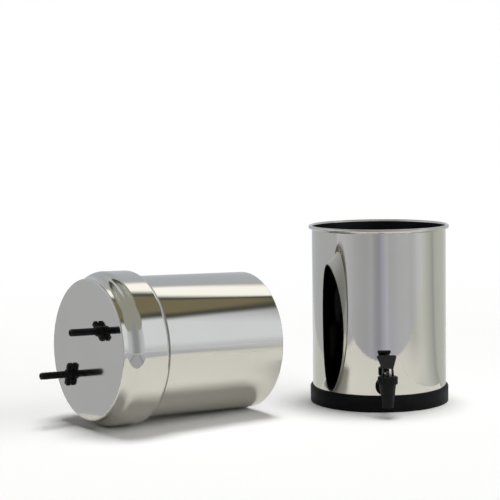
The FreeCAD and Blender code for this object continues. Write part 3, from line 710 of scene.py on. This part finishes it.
def wire(name, path, radius, around=10):
    """A round wire along a path of points, closed at both ends."""
    points, faces = [], []
    for index, spot in enumerate(path):
        before, after = path[max(index - 1, 0)], path[min(index + 1, len(path) - 1)]
        heading = (after - before).normalized()
        aside = heading.cross(Vector((0, 0, 1))).normalized()
        above = aside.cross(heading)
        points += [spot + radius * (math.cos(2 * math.pi * k / around) * aside
                                    + math.sin(2 * math.pi * k / around) * above) for k in range(around)]
    for index in range(len(path) - 1):
        low, high = index * around, (index + 1) * around
        faces += [(low + k, low + (k + 1) % around, high + (k + 1) % around, high + k)
                  for k in range(around)]
    faces += [tuple(range(around)), tuple(range(len(points) - around, len(points)))]
    piece = new_object(name, points, faces)
    tidy_normals(piece, 40)
    return piece


WIRE_RADIUS, COIL_RADIUS = 0.0006, 0.0060
COIL_FOOT, COIL_TOP = TAP_Z + CUP_TOP, TAP_Z + NECK_TOP
FREE_TURNS, DEAD_TURNS, TURN_STEPS = 5.5, 1.0, 36
coil_path = []
total_turns = FREE_TURNS + 2 * DEAD_TURNS
dead_rise = 2.1 * WIRE_RADIUS * DEAD_TURNS
open_rise = COIL_TOP - COIL_FOOT - 2 * WIRE_RADIUS - 2 * dead_rise
for step in range(int(total_turns * TURN_STEPS) + 1):
    turns = step / TURN_STEPS
    opened = min(max(turns - DEAD_TURNS, 0.0), FREE_TURNS)
    rise = (turns - opened) * 2.1 * WIRE_RADIUS + opened / FREE_TURNS * open_rise
    coil_path.append(Vector((COIL_RADIUS * math.cos(2 * math.pi * turns),
                             TAP_Y + COIL_RADIUS * math.sin(2 * math.pi * turns),
                             COIL_FOOT + WIRE_RADIUS + rise)))
coil = wire("tap_spring_coil", coil_path, WIRE_RADIUS)
place_piece(coil, "receiving", "spring_steel", "tap_spring", spring_steel)
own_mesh(coil)

# Lever: a leaning paddle in moulded black plastic on two arms that straddle the stem's eye, and the
# bright cross pin that it turns on.
lever = moulded("tap_lever_moulded", [frame["nodes"]["tap_lever"]], cell=0.0004, passes=4)
place_piece(lever, "lever", "black_plastic", "tap_lever", black_plastic)
PIN_RISE, PIN_RADIUS, PIN_HALF, PIN_BREAK = 0.0317, 0.0015, 0.0104, 0.0004
pin_section = [(0, -PIN_HALF), (PIN_RADIUS - PIN_BREAK, -PIN_HALF), (PIN_RADIUS, -PIN_HALF + PIN_BREAK),
               (PIN_RADIUS, PIN_HALF - PIN_BREAK), (PIN_RADIUS - PIN_BREAK, PIN_HALF), (0, PIN_HALF)]
pin_place = tap_place @ Matrix.Translation((0, 0, PIN_RISE)) @ Matrix.Rotation(math.radians(90), 4, "Y")
place_piece(spun("tap_lever_pin_turned", pin_section, pin_place, 32),
            "valve", "spring_steel", "tap_lever_pin", spring_steel)

# Filtering chamber: the same sheet, drawn in to a spigot at the floor, swelled to a shoulder that
# sits on the lower rim, and folded back inside at the mouth. It lies on its side, open end away.
outlets = [mount for mount in frame["record"]["mounts"] if mount["name"].startswith("filter_outlet")]
tips = [Vector(mount["pos_m"]) for mount in outlets]
OUTLET_OUT = 0.062
HOLE_SHIFT_X, HOLE_SHIFT_Y = -0.0053, 0.0028
inward = -Vector(outlets[0]["axis"]).normalized()
side_way = (tips[1] - tips[0]).normalized()
third_way = inward.cross(side_way)
floor_centre = (tips[0] + tips[1]) / 2 + inward * OUTLET_OUT \
    - side_way * HOLE_SHIFT_X - third_way * HOLE_SHIFT_Y
lying = Matrix((
    (side_way.x, third_way.x, inward.x, floor_centre.x),
    (side_way.y, third_way.y, inward.y, floor_centre.y),
    (side_way.z, third_way.z, inward.z, floor_centre.z),
    (0, 0, 0, 1)))

SPIGOT_RADIUS, SPIGOT_HEIGHT, SPIGOT_CORNER = 0.1254, 0.009, 0.0025
SHOULDER_RADIUS, FLARE_HEIGHT, CREST_END, CREST_ROUND = 0.1375, 0.0365, 0.0798, 0.0105
CREST_FILLET = 0.0035
UPPER_LENGTH = 0.3353
HEM_DEPTH, HEM_ROUND = 0.007, 0.0008
# In the crease behind the shoulder the steel is painted darker and given a rougher finish: the darkness is
# painted shade.
PAINTED_SHADE_START, PAINTED_SHADE_END = CREST_END + 0.0046, CREST_END + 0.0136
crease_shade_steel, crease_shade_tree, crease_shade_shader = new_material("steel crease with painted shade", (0.24, 0.23, 0.205), 0.3, 1.0)
tint(crease_shade_tree, grain(crease_shade_tree, (60, 60, 60)), (0.20, 0.193, 0.172), (0.28, 0.27, 0.24),
     crease_shade_shader)
spread(crease_shade_tree, grain(crease_shade_tree, (40, 2600, 1), 4, True), 0.25, 0.4,
       crease_shade_shader.inputs["Roughness"])


def swelled(offset):
    """The section from the floor's middle to the straight wall, moved in by an offset."""
    step = SHOULDER_RADIUS - SPIGOT_RADIUS
    run = FLARE_HEIGHT - SPIGOT_HEIGHT
    bend = (step * step + run * run) / (4 * step)
    sweep = math.degrees(math.asin(run / 2 / bend))
    line = [(0, offset)]
    line += arc((SPIGOT_RADIUS - SPIGOT_CORNER, SPIGOT_CORNER), SPIGOT_CORNER - offset, -90, 0, 8)
    line += arc((SPIGOT_RADIUS + bend, SPIGOT_HEIGHT), bend + offset, 180, 180 - sweep, 10)[:-1]
    line += arc((SHOULDER_RADIUS - bend, FLARE_HEIGHT), bend - offset, -sweep, 0, 10)
    rise = math.sqrt(CREST_ROUND * (CREST_ROUND + 2 * CREST_FILLET))
    turn = math.degrees(math.atan2(rise, CREST_FILLET))
    line += arc((BODY_RADIUS, CREST_END), CREST_ROUND - offset, 0, turn, 12)
    line += arc((BODY_RADIUS + CREST_FILLET, CREST_END + rise), CREST_FILLET + offset,
                180 + turn, 180, 6)[1:]
    return line


mouth = [(BODY_RADIUS, UPPER_LENGTH - HEM_ROUND)]
mouth += arc((BODY_RADIUS - HEM_ROUND, UPPER_LENGTH - HEM_ROUND), HEM_ROUND, 0, 180, 8)[1:]
mouth += [(BODY_RADIUS - 2 * HEM_ROUND, UPPER_LENGTH - HEM_DEPTH),
          (BODY_RADIUS - WALL, UPPER_LENGTH - HEM_DEPTH - WALL)]
upper_outside = held_flat(swelled(0) + mouth[:1])[:-1]
disk_rows = sum(height == 0 for radius, height in upper_outside) - 1
upper_inner_row = len(upper_outside) + len(mouth) - 3


def upper_finish(row):
    radius, height = upper_outside[min(row, len(upper_outside) - 1)]
    if row < disk_rows:
        return 2
    # Rows in the crease take the steel with painted shade.
    if PAINTED_SHADE_START <= height < PAINTED_SHADE_END:
        return 3
    # Inner rows take the steel painted near black as shade.
    return 1 if row >= upper_inner_row else 0


filtering = spun("filtering_shell", upper_outside + mouth + held_flat(mouth[-1:] + swelled(WALL)[::-1])[1:],
                 lying @ Matrix.Rotation(math.radians(180), 4, "Z"), 256, finish=upper_finish)
place_piece(filtering, "filtering", "polished_steel", "filtering_chamber",
            mirror_steel, inside_shade_steel, disk_steel, crease_shade_steel)

# Filters: pressed carbon blocks between black plastic caps. Each lower cap and its threaded outlet
# are one moulding; the outlet passes through a rubber seal and the chamber's floor, and a wing nut
# on it draws the seal tight.
carbon, carbon_tree, carbon_shader = new_material("pressed carbon", (0.02, 0.02, 0.02), 0.9)
tint(carbon_tree, grain(carbon_tree, (700, 700, 700), 6), (0.008, 0.008, 0.008), (0.05, 0.05, 0.05),
     carbon_shader)
spread(carbon_tree, grain(carbon_tree, (250, 250, 250)), 0.8, 1.0, carbon_shader.inputs["Roughness"])
raise_grain(carbon_tree, grain(carbon_tree, (900, 900, 900), 6), 0.7, 0.0006, carbon_shader)

SEAL_RADIUS, SEAL_THICKNESS, SEAL_EDGE = 0.0149, 0.003, 0.0009
OUTLET_RADIUS, OUTLET_ROOT, OUTLET_PITCH, OUTLET_BORE = 0.00635, 0.0056, 0.0018, 0.0032
CAP_RADIUS, CAP_THICKNESS, CAP_EDGE = 0.0368, 0.014, 0.002
BLOCK_RADIUS, BLOCK_BORE, BLOCK_LENGTH, BLOCK_EDGE = 0.0347, 0.010, 0.228, 0.001
TOP_THICKNESS = 0.009


def ring_with_round_edges(inner, outer, low, high, edge):
    """The section of a plain ring with rounded outer edges."""
    return [(inner, low)] + arc((outer - edge, low + edge), edge, -90, 0, 5) \
        + arc((outer - edge, high - edge), edge, 0, 90, 5) + [(inner, high)]


for number, tip in enumerate(tips, 1):
    axis_at_floor = tip + inward * OUTLET_OUT
    upright = lying.copy()
    upright.translation = axis_at_floor

    seal = spun("filter_seal_moulded_%d" % number,
                ring_with_round_edges(0.0066, SEAL_RADIUS, WALL, WALL + SEAL_THICKNESS, SEAL_EDGE), upright)
    place_piece(seal, "filtering", "black_rubber", "filter_seal_%d" % number, black_rubber)

    cap_low = WALL + SEAL_THICKNESS
    outlet_thread = thread_stations(cap_low, -OUTLET_OUT, OUTLET_PITCH, OUTLET_RADIUS)
    base_section = [(OUTLET_BORE, cap_low + CAP_THICKNESS)]
    base_section += arc((CAP_RADIUS - CAP_EDGE, cap_low + CAP_THICKNESS - CAP_EDGE), CAP_EDGE, 90, 0, 4)
    base_section += arc((CAP_RADIUS - CAP_EDGE, cap_low + CAP_EDGE), CAP_EDGE, 0, -90, 4)
    thread_start = len(base_section)
    base_section += outlet_thread + [(OUTLET_BORE, -OUTLET_OUT)]
    base = threaded("filter_outlet_moulded_%d" % number, base_section,
                    range(thread_start, thread_start + len(outlet_thread)), OUTLET_PITCH,
                    OUTLET_RADIUS, OUTLET_ROOT, upright)
    place_piece(base, "filtering", "black_plastic", "filter_base_%d" % number, black_plastic)

    block_low = cap_low + CAP_THICKNESS
    block_section = ring_with_round_edges(BLOCK_BORE, BLOCK_RADIUS, block_low, block_low + BLOCK_LENGTH,
                                          BLOCK_EDGE)
    block = spun("filter_carbon_%d" % number, block_section, upright)
    place_piece(block, "filtering", "carbon", "filter_block_%d" % number, carbon)

    top_low = block_low + BLOCK_LENGTH
    top_high = top_low + TOP_THICKNESS
    top_section = [(0, top_low)] + arc((CAP_RADIUS - 0.001, top_low + 0.001), 0.001, -90, 0, 3)
    top_section += arc((CAP_RADIUS - CAP_EDGE, top_high - CAP_EDGE), CAP_EDGE, 0, 90, 5)
    top_section += [(0.0300, top_high), (0.0292, top_high - 0.0015), (0.0130, top_high - 0.0015),
                    (0.0122, top_high), (0, top_high)]
    top = spun("filter_top_moulded_%d" % number, top_section, upright)
    place_piece(top, "filtering", "black_plastic", "filter_top_%d" % number, black_plastic)

    nut = moulded("wing_nut_moulded_%d" % number, [frame["nodes"]["wing_nut_%d" % number]],
                  cell=0.0004, passes=5)
    place_piece(nut, "wing_nut_%d" % number, "black_plastic", "wing_nut_%d" % number, black_plastic)
